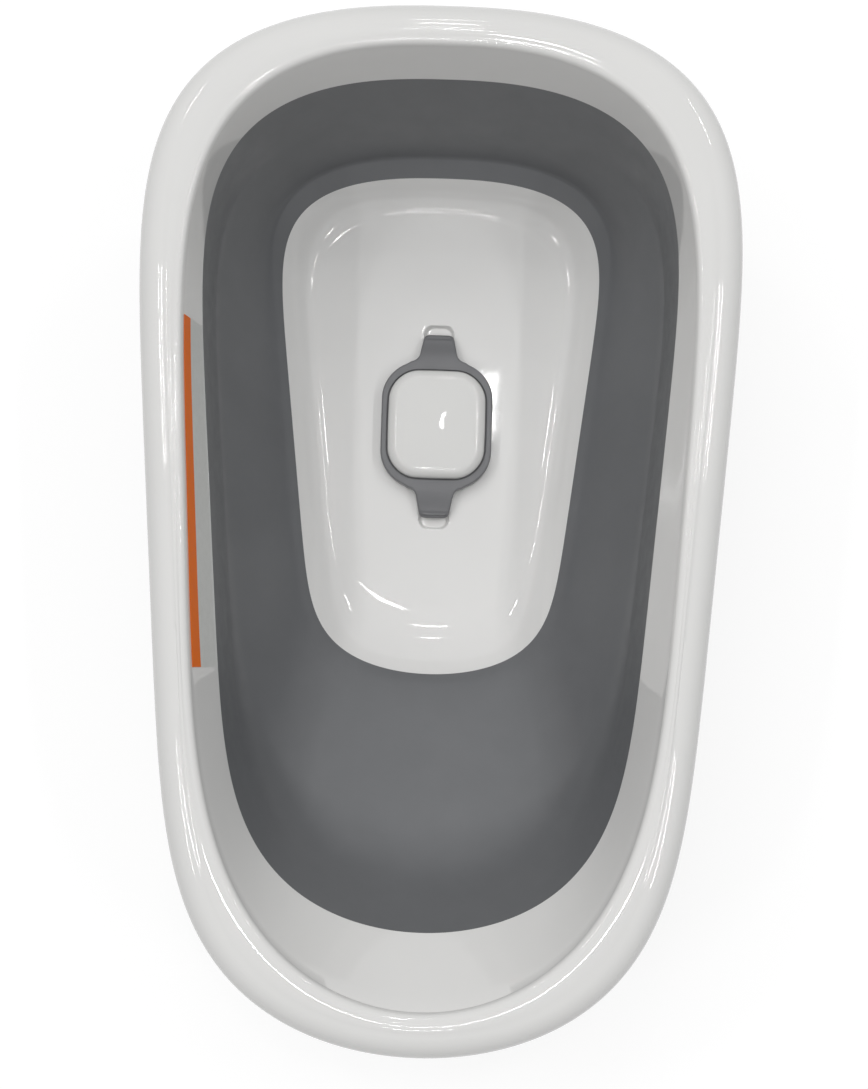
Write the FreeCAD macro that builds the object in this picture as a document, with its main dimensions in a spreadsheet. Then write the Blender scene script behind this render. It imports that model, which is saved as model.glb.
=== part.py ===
import FreeCAD, Part
import math
import os
import Sketcher
from FreeCAD import Placement, Rotation, Vector

# Folding baby bathtub: rigid rim, soft folding wall, rigid base pan and a lift-out drain plug.
#
# Millimetres, +Z up.  The origin is on the floor under the middle of the tub, +Y points to the foot
# end and -Y to the head end, where the child leans back.

doc = FreeCAD.newDocument("FoldingBathtub")

# ---------------------------------------------------------------------------------------------
# Driving dimensions
# ---------------------------------------------------------------------------------------------

DIMENSIONS = {
    "overall_length": 820,
    "overall_width": 474,
    "overall_height": 250,
    # rim moulding
    "rigid_wall": 3,
    "bead_outer_round": 22,
    "bead_inner_round": 6,
    "skirt_depth": 44,
    "rim_depth": 60,
    # soft wall
    "soft_wall": 3,
    "ridge_height": 122,
    "fold_gap": 0.3,
    "collar_lap": 11,
    "collar_wall": 2.5,
    "lap_gap": 0.15,
    "crease_run": 16,
    "crease_rise": 11,
    "crease_knee_run": 8.5,
    "crease_knee_rise": 3.8,
    # base pan
    "pan_height": 46,
    "floor_height": 20,
    "plinth_clearance": 4,
    "plinth_draft": 2,
    "rib_wall": 2.5,
    "rib_depth": 8,
    "rib_side_place": 55,
    # foot pads
    "pad_radius": 14,
    "pad_depth": 8,
    "pad_seat_depth": 4,
    "pad_edge_distance": 20,
    "pad_end_distance": 30,
    "pad_boss_wall": 3,
    "pad_gap": 0.2,
    "pad_edge_round": 1.5,
    # drain opening in the pan floor
    "plug_shift": 17,
    "drain_width": 77,
    "drain_length": 89,
    "drain_corner": 17,
    "drain_wall": 2.5,
    "drain_lip": 8,
    "drain_spout": 9,
    "recess_lap": 13,
    "recess_room": 10,
    "recess_corner": 7,
    "recess_depth": 6,
    # plug seal
    "seal_side_lap": 12,
    "seal_end_lap": 13,
    "seal_corner_gain": 15,
    "seal_height": 15,
    "seal_floor_gap": 0.4,
    "seal_skirt": 5,
    "seal_membrane": 3,
    "seal_lip_gap": 1,
    "tab_width": 28,
    "tab_length": 26.5,
    "tab_flare": 9,
    "tab_corner": 5,
    "tab_thickness": 3,
    "tab_drop": 6,
    "tab_hook": 4,
    # plug cap
    "cap_side_inset": 6.5,
    "cap_end_inset": 8.5,
    "cap_corner_loss": 6,
    "cap_height": 16,
    "cap_wall": 2.5,
    "cap_edge_round": 8,
    "cap_gap": 0.4,
    # plug core and its screws
    "core_gap": 0.5,
    "core_wall": 2.5,
    "core_plate": 3,
    "core_depth": 17,
    "screw_side_inset": 16.5,
    "screw_end_inset": 17.5,
    "screw_radius": 1.7,
    "screw_head_radius": 3.5,
    "screw_head": 2.2,
    "screw_bite": 8,
    "screw_gap": 0.05,
    "screw_clearance": 0.4,
    "screw_boss_wall": 2.8,
    # blank adhesive strip on the rim's inner band
    "strip_thickness": 0.4,
    "strip_gap": 0.1,
    "strip_margin": 3,
    "strip_foot_end": 155,
    "strip_head_end": -118,
    # how far a cutting body reaches past what it cuts
    "cut_overrun": 1,
    # shape of all outlines
    "foot_roundness": 2.5,
    "head_roundness": 2.0,
}

# Each level of the tub has one closed outline.  It lies inside the rim's outline by the side, foot
# and head insets.  The taper narrows it towards the head end, and a higher squareness keeps its
# sides straight for longer before they turn into the end.
OUTLINES = {
    # level: (side inset, foot inset, head inset, taper, foot squareness, head squareness)
    "rim": (0, 0, 0, 0.30, 5.0, 5.8),
    "bead": (38, 37.5, 37.5, 0.25, 4.6, 4.2),
    "seam": (44, 44.5, 87, 0.32, 5.2, 6.0),
    "ridge": (46, 58, 128, 0.34, 4.8, 5.0),
    "pan": (94, 84, 288, 0.42, 5.8, 8.4),
    "floor": (124, 112, 352, 0.42, 5.0, 6.0),
}
OUTLINE_SIZES = ("side_inset", "foot_inset", "head_inset", "taper", "foot_square", "head_square")

sheet = doc.addObject("Spreadsheet::Sheet", "Sizes")
for level, numbers in OUTLINES.items():
    for size_name, number in zip(OUTLINE_SIZES, numbers):
        DIMENSIONS[f"{level}_{size_name}"] = number
for line, (alias, number) in enumerate(DIMENSIONS.items(), 1):
    sheet.set(f"A{line}", alias.replace("_", " "))
    sheet.set(f"B{line}", str(number))
    sheet.setAlias(f"B{line}", alias)
doc.recompute()

# Sizes of the plug that follow the drain opening.
SEAL_WIDTH = "(Sizes.drain_width + 2 * Sizes.seal_side_lap)"
SEAL_LENGTH = "(Sizes.drain_length + 2 * Sizes.seal_end_lap)"
SEAL_CORNER = "(Sizes.drain_corner + Sizes.seal_corner_gain)"
TAB_REACH = f"({SEAL_LENGTH} / 2 + Sizes.tab_length)"
CAP_WIDTH = f"({SEAL_WIDTH} - 2 * Sizes.cap_side_inset)"
CAP_LENGTH = f"({SEAL_LENGTH} - 2 * Sizes.cap_end_inset)"
CAP_CORNER = f"({SEAL_CORNER} - Sizes.cap_corner_loss)"
CORE_WIDTH = "(Sizes.drain_width - 2 * Sizes.core_gap)"
CORE_LENGTH = "(Sizes.drain_length - 2 * Sizes.core_gap)"
CORE_CORNER = "(Sizes.drain_corner - Sizes.core_gap)"
SCREW_SIDE = "(Sizes.drain_width / 2 - Sizes.screw_side_inset)"
SCREW_END = "(Sizes.drain_length / 2 - Sizes.screw_end_inset)"


def size(alias):
    """One driving dimension, read from the sheet."""
    return float(sheet.get(alias))


def value(expression):
    """An expression on the sheet, worked out now, to draw a sketch close to its final shape."""
    return float(sheet.evalExpression(expression))


# ---------------------------------------------------------------------------------------------
# Outlines of the tub's levels
# ---------------------------------------------------------------------------------------------

HALF_POINTS = 32
FORMULA_STEPS = 2000
TOUCH = 1e-3  # two places nearer than this are the same place


def outline(level):
    """Points evenly spaced along a level's outline: foot end, right side, head end, left side."""
    foot = size("overall_length") / 2 - size(f"{level}_foot_inset")
    head = size("overall_length") / 2 - size(f"{level}_head_inset")
    reach = (foot + head) / 2
    middle = (foot - head) / 2
    dense = []
    for step in range(FORMULA_STEPS + 1):
        along = math.cos(math.pi * step / FORMULA_STEPS)
        end = "foot" if along >= 0 else "head"
        fullness = max(1 - abs(along) ** size(f"{level}_{end}_square"), 0)
        across = fullness ** (1 / size(f"{end}_roundness")) * (1 + size(f"{level}_taper") * along / 2)
        dense.append((across, middle + reach * along))
    widest = max(across for across, along in dense)
    half_width = size("overall_width") / 2 - size(f"{level}_side_inset")
    dense = [(across * half_width / widest, along) for across, along in dense]
    walked = [0]
    for first, second in zip(dense, dense[1:]):
        walked.append(walked[-1] + math.dist(first, second))
    right = []
    place = 0
    for number in range(HALF_POINTS + 1):
        wanted = walked[-1] * number / HALF_POINTS
        while place < FORMULA_STEPS - 1 and walked[place + 1] < wanted:
            place += 1
        share = (wanted - walked[place]) / (walked[place + 1] - walked[place])
        right.append(mix(dense[place], dense[place + 1], share))
    left = [(-x, y) for x, y in reversed(right[1:-1])]
    return right + left


def mix(first, second, share):
    """The point that lies a share of the way from the first point to the second."""
    return tuple(a + (b - a) * share for a, b in zip(first, second))


def between(first, second, share):
    """The outline that lies a share of the way from the first outline to the second."""
    return [mix(a, b, share) for a, b in zip(first, second)]


def grown(points, distance):
    """An outline moved outwards by one distance, or by one distance for each of its points."""
    count = len(points)
    distances = distance if isinstance(distance, list) else [distance] * count
    moved = []
    for number, (x, y) in enumerate(points):
        before = points[number - 1]
        after = points[(number + 1) % count]
        along_x = after[0] - before[0]
        along_y = after[1] - before[1]
        length = math.hypot(along_x, along_y)
        moved.append((x - along_y / length * distances[number], y + along_x / length * distances[number]))
    return moved


def thickened(rows, wall):
    """Rows of (height, outline) moved outwards, so that the sloping wall between keeps its thickness."""
    result = []
    for number, (height, points) in enumerate(rows):
        low, low_points = rows[max(number - 1, 0)]
        high, high_points = rows[min(number + 1, len(rows) - 1)]
        distances = []
        for below, above in zip(low_points, high_points):
            slope = math.dist(below, above) / (high - low)
            distances.append(wall * math.hypot(1, slope))
        result.append((height, grown(points, distances)))
    return result


def section(height, points):
    """A closed smooth wire through the points of an outline."""
    curve = Part.BSplineCurve()
    curve.interpolate(Points=[Vector(x, y, height) for x, y in points], PeriodicFlag=True)
    return Part.Wire(curve.toShape())


def skin(rows):
    """The faces between rows of (height, outline), straight from each row to the next."""
    return Part.makeLoft([section(height, points) for height, points in rows], False, True).Faces


def level_face(row, next_row=None):
    """A level face inside a row's outline, or the ring between two rows of one height."""
    wires = [section(*edge) for edge in (row, next_row) if edge]
    return Part.makeFace(wires, "Part::FaceMakerBullseye")


def moulding(name, skins, closed=True):
    """A solid whose skins follow each other round the wall's cross-section.

    Each skin is a list of rows of (height, outline).  A ring joins two skins that meet on different
    outlines.  A closed wall returns to its first skin; an open one has a level face at both ends.
    """
    faces = []
    for number, rows in enumerate(skins):
        faces += skin(rows)
        if number == len(skins) - 1 and not closed:
            break
        last_row = rows[-1]
        next_row = skins[(number + 1) % len(skins)][0]
        if last_row != next_row:
            faces.append(level_face(last_row, next_row))
    if not closed:
        faces += [level_face(skins[0][0]), level_face(skins[-1][-1])]
    shell = Part.Shell(faces)
    shell.sewShape()
    solid = Part.Solid(shell.Shells[0] if shell.Shells else shell)
    if solid.Volume < 0:
        solid.reverse()
    result = doc.addObject("Part::Feature", name)
    result.Shape = solid
    return result


def cut(name, base, tool):
    """What is left of base without tool."""
    result = doc.addObject("Part::Cut", name)
    result.Base = base
    result.Tool = tool
    result.Label = name
    return result


def fuse(name, shapes):
    """Several solids made into one."""
    result = doc.addObject("Part::MultiFuse", name)
    result.Shapes = shapes
    result.Label = name
    result.Refine = True
    return result


def common(name, shapes):
    """What all the shapes share."""
    result = doc.addObject("Part::MultiCommon", name)
    result.Shapes = shapes
    result.Label = name
    return result


# ---------------------------------------------------------------------------------------------
# Sketches and bodies
# ---------------------------------------------------------------------------------------------


def new_body(name):
    """An empty PartDesign body."""
    body = doc.addObject("PartDesign::Body", name)
    body.Label = name
    return body


def new_sketch(body, name, role="XY_Plane", height=None):
    """A sketch on one of the body's own origin planes, raised by an expression where one is given."""
    sketch = body.newObject("Sketcher::SketchObject", name)
    plane = next(feature for feature in body.Origin.OriginFeatures if feature.Role == role)
    sketch.AttachmentSupport = (plane, [""])
    sketch.MapMode = "FlatFace"
    if height:
        sketch.setExpression("AttachmentOffset.Base.z", height)
    return sketch


def bind(sketch, constraint, expression):
    """Adds a constraint whose size follows an expression on the sheet."""
    number = sketch.addConstraint(constraint)
    sketch.setExpression(f"Constraints[{number}]", expression)


def polygon(sketch, corners):
    """A closed polygon.  Each corner is a pair of expressions."""
    first = sketch.GeometryCount
    count = len(corners)
    places = [Vector(value(across), value(along), 0) for across, along in corners]
    for number in range(count):
        sketch.addGeometry(Part.LineSegment(places[number], places[(number + 1) % count]), False)
    for number in range(count):
        following = first + (number + 1) % count
        sketch.addConstraint(Sketcher.Constraint("Coincident", first + number, 2, following, 1))
    for number, (across, along) in enumerate(corners):
        bind_place(sketch, first + number, 1, across, along)


def bind_place(sketch, geometry, point, across, along):
    """Holds one point of a sketch at a place given by two expressions."""
    directions = (("DistanceX", "Vertical", across), ("DistanceY", "Horizontal", along))
    for axis, upright, expression in directions:
        distance = value(expression)
        if abs(distance) < TOUCH:
            sketch.addConstraint(Sketcher.Constraint(upright, -1, 1, geometry, point))
        else:
            bind(sketch, Sketcher.Constraint(axis, -1, 1, geometry, point, distance), expression)


def rectangle(sketch, wide, long, corner="0", middle="0"):
    """An upright rectangle about x = 0, with its middle at y = middle and its corners rounded."""
    right = f"({wide}) / 2"
    far = f"({long}) / 2"
    inner_right = f"({right} - {corner})"
    inner_far = f"({far} - {corner})"
    if value(corner) == 0:
        polygon(sketch, [
            (f"{x} * {right}", f"{middle} + {y} * {far}") for x, y in ((-1, -1), (1, -1), (1, 1), (-1, 1))
        ])
        return
    sides = [
        [(f"-{inner_right}", f"{middle} - {far}"), (inner_right, f"{middle} - {far}")],
        [(right, f"{middle} - {inner_far}"), (right, f"{middle} + {inner_far}")],
        [(inner_right, f"{middle} + {far}"), (f"-{inner_right}", f"{middle} + {far}")],
        [(f"-{right}", f"{middle} + {inner_far}"), (f"-{right}", f"{middle} - {inner_far}")],
    ]
    centre_y = value(middle)
    radius = value(corner)
    for ends in sides:
        start, stop = (Vector(value(x), value(y), 0) for x, y in ends)
        sketch.addGeometry(Part.LineSegment(start, stop), False)
    for number, (x, y) in enumerate(((1, -1), (1, 1), (-1, 1), (-1, -1))):
        centre = Vector(x * value(inner_right), centre_y + y * value(inner_far), 0)
        circle = Part.Circle(centre, Vector(0, 0, 1), radius)
        start = (number - 1) * math.pi / 2
        sketch.addGeometry(Part.ArcOfCircle(circle, start, start + math.pi / 2), False)
    for line, ends in enumerate(sides):
        for point, (x, y) in enumerate(ends, 1):
            bind_place(sketch, line, point, x, y)
        sketch.addConstraint(Sketcher.Constraint("Tangent", line, 2, 4 + line, 1))
        sketch.addConstraint(Sketcher.Constraint("Coincident", 4 + line, 2, (line + 1) % 4, 1))


def circles(sketch, places, radius):
    """Circles of one radius.  Each place is a pair of expressions."""
    for across, along in places:
        centre = Vector(value(across), value(along), 0)
        circle = sketch.addGeometry(Part.Circle(centre, Vector(0, 0, 1), value(radius)), False)
        bind(sketch, Sketcher.Constraint("Radius", circle, value(radius)), radius)
        bind(sketch, Sketcher.Constraint("DistanceX", -1, 1, circle, 3, centre.x), across)
        bind(sketch, Sketcher.Constraint("DistanceY", -1, 1, circle, 3, centre.y), along)


def pad(body, sketch, length):
    """Material from the sketch upwards."""
    feature = body.newObject("PartDesign::Pad", sketch.Name + "_pad")
    feature.Profile = sketch
    feature.setExpression("Length", length)
    doc.recompute()
    return feature


def pocket(body, sketch, length, upwards=True):
    """A hollow from the sketch upwards, or downwards."""
    feature = body.newObject("PartDesign::Pocket", sketch.Name + "_pocket")
    feature.Profile = sketch
    feature.setExpression("Length", length)
    feature.Reversed = upwards
    doc.recompute()
    return feature


def side_pocket(body, sketch, width):
    """A cut that runs to both sides of an upright sketch."""
    feature = body.newObject("PartDesign::Pocket", sketch.Name + "_pocket")
    feature.Profile = sketch
    feature.SideType = "Symmetric"
    feature.setExpression("Length", width)
    doc.recompute()
    return feature


def round_edges(body, name, radius, wanted):
    """Rounds the edges of the body's last feature for which wanted(edge) is true."""
    doc.recompute()
    base = body.Tip
    chosen = [f"Edge{n}" for n, edge in enumerate(base.Shape.Edges, 1) if wanted(edge)]
    if not chosen:
        raise RuntimeError(f"no edge found for {name}")
    feature = body.newObject("PartDesign::Fillet", name)
    feature.Base = (base, chosen)
    feature.setExpression("Radius", radius)
    doc.recompute()
    return feature


def is_upright(edge):
    """True for a straight edge along Z."""
    box = edge.BoundBox
    return box.XLength < TOUCH and box.YLength < TOUCH


def rounded_block(body, name, wide, long, corner, height, low="0", middle="0"):
    """A block with rounded upright corners."""
    sketch = new_sketch(body, name, height=low)
    rectangle(sketch, wide, long, corner, middle)
    return pad(body, sketch, height)


def rounded_pocket(body, name, wide, long, corner, depth, low):
    """A hollow with rounded upright corners, cut upwards from a height."""
    sketch = new_sketch(body, name, height=low)
    rectangle(sketch, wide, long, corner)
    return pocket(body, sketch, depth)


def place(body, across="0", along="0", up="0"):
    """Puts a body at a place that follows the sheet."""
    for axis, expression in (("x", across), ("y", along), ("z", up)):
        body.setExpression(f"Placement.Base.{axis}", expression)


# ---------------------------------------------------------------------------------------------
# Levels
# ---------------------------------------------------------------------------------------------

rim_outline = outline("rim")
bead_outline = outline("bead")
seam_outline = outline("seam")
ridge_outline = outline("ridge")
pan_outline = outline("pan")
floor_outline = outline("floor")

top = size("overall_height")
rigid = size("rigid_wall")
soft = size("soft_wall")
seam_height = top - size("rim_depth")
skirt_height = top - size("skirt_depth")
bead_edge_height = top - size("bead_inner_round")
ROUND_ROWS = 6
ROUND_SHARES = [row / ROUND_ROWS for row in range(1, ROUND_ROWS + 1)]


def rolled_rows(radius, outline_at_edge, edge_height, inwards):
    """Rows of a quarter round that starts upright at the edge and ends level."""
    rows = []
    for share in ROUND_SHARES:
        angle = share * math.pi / 2
        shift = radius * (1 - math.cos(angle)) * (-1 if inwards else 1)
        rows.append((edge_height + radius * math.sin(angle), grown(outline_at_edge, shift)))
    return rows


# ---------------------------------------------------------------------------------------------
# Rim: a rolled bead, open below, with a band that slopes down to the soft wall
# ---------------------------------------------------------------------------------------------


def bead_rows(shift, round_radius):
    """The bead's outer skin, moved inwards by shift."""
    edge = grown(rim_outline, -shift)
    roll_height = top - size("bead_outer_round")
    rows = [(skirt_height, edge), ((skirt_height + roll_height) / 2, edge), (roll_height, edge)]
    return rows + rolled_rows(round_radius, edge, roll_height, True)


def band_outline(height):
    """The inner face of the band between the soft wall and the bead."""
    return between(seam_outline, bead_outline, (height - seam_height) / (bead_edge_height - seam_height))


BAND_SHARES = (0, 0.25, 0.5, 0.75, 1)
band_heights = [seam_height + (bead_edge_height - seam_height) * share for share in BAND_SHARES]
band_rows = [(height, band_outline(height)) for height in band_heights]
band_back_rows = thickened(band_rows, rigid)
band_back_rows.append((top - rigid, band_back_rows[-1][1]))
basin_rows = band_rows + rolled_rows(size("bead_inner_round"), bead_outline, bead_edge_height, False)
bead_outside = bead_rows(0, size("bead_outer_round"))
bead_inside = bead_rows(rigid, size("bead_outer_round") - rigid)
rim = moulding("rim", [bead_outside, basin_rows[::-1], band_back_rows, bead_inside[::-1]])

# ---------------------------------------------------------------------------------------------
# Upper soft wall: from the fold ridge to the rim, with a collar that laps the band from behind
# ---------------------------------------------------------------------------------------------

ridge_top = size("ridge_height") + size("fold_gap")
lap = size("collar_lap")
lap_foot = seam_height - lap


def upper_outline(height):
    """The inner face of the upper soft wall."""
    return between(ridge_outline, seam_outline, (height - ridge_top) / (seam_height - ridge_top))


UPPER_SHARES = (0, 0.33, 0.67, 1)
upper_front = [ridge_top + (seam_height - ridge_top) * share for share in UPPER_SHARES]
upper_front = [(height, upper_outline(height)) for height in upper_front]
upper_back = [ridge_top + (lap_foot - ridge_top) * share for share in UPPER_SHARES]
upper_back = thickened([(height, upper_outline(height)) for height in upper_back], soft)
lap_rows = thickened([(height, band_outline(height)) for height in (seam_height, seam_height + lap)], rigid)
lap_inner = [(height, grown(points, size("lap_gap"))) for height, points in lap_rows]
lap_outer = [(height, grown(points, size("collar_wall"))) for height, points in lap_inner]
lap_outer.insert(0, (lap_foot, grown(upper_back[-1][1], size("lap_gap") + size("collar_wall"))))
wall_upper = moulding("wall_upper", [upper_front, lap_inner, lap_outer[::-1], upper_back[::-1]])

# ---------------------------------------------------------------------------------------------
# Lower soft wall: from the base pan up to the fold ridge, with a collar round the pan's edge
# ---------------------------------------------------------------------------------------------

pan_height = size("pan_height")
crease_outline = grown(pan_outline, size("crease_run"))
crease_height = pan_height + size("crease_rise")
LOWER_SHARES = (0.22, 0.55, 1)
lower_front = [
    (pan_height, pan_outline),
    (pan_height + size("crease_knee_rise"), grown(pan_outline, size("crease_knee_run"))),
    (crease_height, crease_outline),
]
for share in LOWER_SHARES:
    height = crease_height + (size("ridge_height") - crease_height) * share
    lower_front.append((height, between(crease_outline, ridge_outline, share)))
plinth_edge = grown(pan_outline, rigid)
collar_inner = grown(plinth_edge, size("lap_gap"))
collar_edge = grown(collar_inner, size("collar_wall"))
lower_back = thickened(lower_front, soft)
lower_back[0] = (pan_height, collar_edge)
wall_lower = moulding("wall_lower", [
    lower_front,
    lower_back[::-1],
    [(pan_height, collar_edge), (pan_height - lap, collar_edge)],
    [(pan_height - lap, collar_inner), (pan_height, collar_inner)],
])

# ---------------------------------------------------------------------------------------------
# Base pan: dished floor, plinth skirt, pad bosses, ribs, drain opening and finger recesses
# ---------------------------------------------------------------------------------------------

floor_height = size("floor_height")
DISH_ROWS = 10
DISH_SHARES = [row / DISH_ROWS for row in range(DISH_ROWS + 1)]


def dish_row(share, wall=0):
    """One level of the pan's rounded edge, which leaves the floor level and rises as a parabola."""
    height = floor_height + (pan_height - floor_height) * share ** 2
    return height - wall * (1 - share ** 2), grown(between(floor_outline, pan_outline, share), wall * share)


dish_front = [dish_row(share) for share in DISH_SHARES]
dish_back = [dish_row(share, rigid) for share in DISH_SHARES[:-2]]
plinth_foot = grown(plinth_edge, -size("plinth_draft"))
plinth_low = size("plinth_clearance")
plinth_front = [(pan_height, plinth_edge), (pan_height - lap, plinth_edge)]
plinth_side = [(pan_height - lap, plinth_edge), (plinth_low, plinth_foot)]
plinth_back = [(plinth_low, grown(plinth_foot, -rigid)), (dish_back[-1][0], grown(plinth_edge, -rigid))]
pan_shell = moulding(
    "pan_shell", [dish_front, plinth_front, plinth_side, plinth_back, dish_back[::-1]], False
)


def half_width_at(points, y):
    """Half the width of an outline at a place along the tub."""
    return min((abs(py - y), abs(px)) for px, py in points)[1]


floor_foot_end = size("overall_length") / 2 - size("floor_foot_inset")
floor_head_end = size("floor_head_inset") - size("overall_length") / 2
pad_places = []
for end_name, y in (
    ("foot", floor_foot_end - size("pad_end_distance")),
    ("head", floor_head_end + size("pad_end_distance")),
):
    x = half_width_at(floor_outline, y) - size("pad_edge_distance")
    pad_places.append((f"{end_name}_right", x, y))
    pad_places.append((f"{end_name}_left", -x, y))


def pad_boss(name, x, y):
    """A round boss under the pan, and the seat in it for one foot pad."""
    boss = doc.addObject("Part::Cylinder", f"boss_{name}")
    boss.setExpression("Radius", "Sizes.pad_radius + Sizes.pad_gap + Sizes.pad_boss_wall")
    boss.setExpression(
        "Height", "Sizes.floor_height - Sizes.rigid_wall / 2 - Sizes.pad_depth + Sizes.pad_seat_depth"
    )
    boss.Placement = Placement(Vector(x, y, 0), Rotation())
    boss.setExpression("Placement.Base.z", "Sizes.pad_depth - Sizes.pad_seat_depth")
    seat = doc.addObject("Part::Cylinder", f"seat_{name}")
    seat.setExpression("Radius", "Sizes.pad_radius + Sizes.pad_gap")
    seat.setExpression("Height", "Sizes.pad_depth")
    seat.Placement = Placement(Vector(x, y, 0), Rotation())
    return boss, seat


def rib(name, wide, long, x, y):
    """One stiffening rib under the floor, about a middle point."""
    bar = doc.addObject("Part::Box", name)
    bar.Length = wide
    bar.Width = long
    bar.setExpression("Height", "Sizes.rib_depth + Sizes.rigid_wall / 2")
    bar.Placement = Placement(Vector(x - wide / 2, y - long / 2, 0), Rotation())
    bar.setExpression("Placement.Base.z", "Sizes.floor_height - Sizes.rigid_wall - Sizes.rib_depth")
    return bar


PLUG_Y = "(Sizes.floor_head_inset - Sizes.floor_foot_inset) / 2 - Sizes.plug_shift"
foot_pad_x, foot_pad_y = pad_places[0][1:]
head_pad_x, head_pad_y = pad_places[2][1:]
ribs = [
    rib("rib_foot", 2 * foot_pad_x, size("rib_wall"), 0, foot_pad_y),
    rib("rib_head", 2 * head_pad_x, size("rib_wall"), 0, head_pad_y),
]
for side_name, side in (("right", 1), ("left", -1)):
    ribs.append(
        rib(f"rib_{side_name}", size("rib_wall"), foot_pad_y - head_pad_y,
            side * size("rib_side_place"), (foot_pad_y + head_pad_y) / 2)
    )

drain_collar = new_body("drain_collar")
rounded_block(
    drain_collar, "collar",
    "Sizes.drain_width + 2 * Sizes.drain_wall", "Sizes.drain_length + 2 * Sizes.drain_wall",
    "(Sizes.drain_corner + Sizes.drain_wall)", "Sizes.drain_spout + Sizes.drain_lip", "-Sizes.drain_spout",
)
drain_hole = new_body("drain_hole")
rounded_block(
    drain_hole, "hole", "Sizes.drain_width", "Sizes.drain_length", "Sizes.drain_corner",
    "Sizes.drain_spout + Sizes.drain_lip + 2 * Sizes.cut_overrun",
    "-Sizes.drain_spout - Sizes.cut_overrun",
)

recess_bosses = []
recess_hollows = []
for end_name, sign in (("foot", "1"), ("head", "-1")):
    middle = f"{sign} * ({TAB_REACH} + (Sizes.recess_room - Sizes.recess_lap) / 2)"
    boss = new_body(f"recess_boss_{end_name}")
    rounded_block(
        boss, f"recess_outside_{end_name}", "Sizes.tab_width + 2 * Sizes.drain_wall",
        "Sizes.recess_room + Sizes.recess_lap + 2 * Sizes.drain_wall",
        "(Sizes.recess_corner + Sizes.drain_wall)", "Sizes.recess_depth + Sizes.drain_wall / 2",
        "-Sizes.recess_depth - Sizes.drain_wall", middle,
    )
    hollow = new_body(f"recess_hollow_{end_name}")
    rounded_block(
        hollow, f"recess_inside_{end_name}", "Sizes.tab_width",
        "Sizes.recess_room + Sizes.recess_lap", "Sizes.recess_corner",
        "Sizes.recess_depth + Sizes.pan_height", "-Sizes.recess_depth", middle,
    )
    recess_bosses.append(boss)
    recess_hollows.append(hollow)
for body in [drain_collar, drain_hole] + recess_bosses + recess_hollows:
    place(body, along=PLUG_Y, up="Sizes.floor_height")

bosses = []
seats = []
for pad_name, x, y in pad_places:
    boss, seat = pad_boss(pad_name, x, y)
    bosses.append(boss)
    seats.append(seat)
pan_blank = fuse("pan_blank", [pan_shell, drain_collar] + ribs + bosses + recess_bosses)
pan_openings = fuse("pan_openings", [drain_hole] + recess_hollows + seats)
base_pan = cut("base_pan", pan_blank, pan_openings)

# ---------------------------------------------------------------------------------------------
# Foot pads
# ---------------------------------------------------------------------------------------------


def foot_pad(name, x, y):
    """A round non-slip pad with a rounded lower edge."""
    disc = doc.addObject("Part::Cylinder", f"disc_{name}")
    disc.setExpression("Radius", "Sizes.pad_radius")
    disc.setExpression("Height", "Sizes.pad_depth")
    doc.recompute()
    lower_edges = [
        number for number, edge in enumerate(disc.Shape.Edges, 1)
        if edge.BoundBox.ZMax < TOUCH and edge.Length > size("pad_radius")
    ]
    pad_object = doc.addObject("Part::Fillet", f"foot_pad_{name}")
    pad_object.Base = disc
    pad_object.Edges = [(number, size("pad_edge_round"), size("pad_edge_round")) for number in lower_edges]
    pad_object.Placement = Placement(Vector(x, y, 0), Rotation())
    pad_object.Label = f"foot_pad_{name}"
    return pad_object


foot_pads = [foot_pad(pad_name, x, y) for pad_name, x, y in pad_places]

# ---------------------------------------------------------------------------------------------
# Plug.  Its bodies are drawn about their own middle, with z = 0 at the pan's floor.
# ---------------------------------------------------------------------------------------------

SEAT_HEIGHT = "(Sizes.drain_lip + Sizes.seal_lip_gap + Sizes.seal_membrane)"
MEMBRANE_UNDERSIDE = "(Sizes.drain_lip + Sizes.seal_lip_gap)"
SCREW_PLACES = [
    (f"{side} * {SCREW_SIDE}", f"{end} * {SCREW_END}") for side in (-1, 1) for end in (-1, 1)
]

plug_seal = new_body("plug_seal")
rounded_block(
    plug_seal, "seal_ring", SEAL_WIDTH, SEAL_LENGTH, SEAL_CORNER,
    "Sizes.seal_height - Sizes.seal_floor_gap", "Sizes.seal_floor_gap",
)
tab_sketch = new_sketch(plug_seal, "seal_tabs", height="Sizes.seal_floor_gap")
rectangle(tab_sketch, "Sizes.tab_width", f"2 * {TAB_REACH}")
pad(plug_seal, tab_sketch, "Sizes.seal_height - Sizes.seal_floor_gap")


def is_tab_root(edge):
    """The upright edges where a tab leaves the ring."""
    middle = edge.CenterOfMass
    return (
        is_upright(edge)
        and abs(abs(middle.x) - size("tab_width") / 2) < TOUCH
        and abs(middle.y) < value(TAB_REACH) - TOUCH
    )


def is_tab_tip(edge):
    """The upright edges at the tips of the tabs."""
    return is_upright(edge) and abs(abs(edge.CenterOfMass.y) - value(TAB_REACH)) < TOUCH


round_edges(plug_seal, "tab_flares", "Sizes.tab_flare", is_tab_root)
round_edges(plug_seal, "tab_corners", "Sizes.tab_corner", is_tab_tip)

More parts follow.
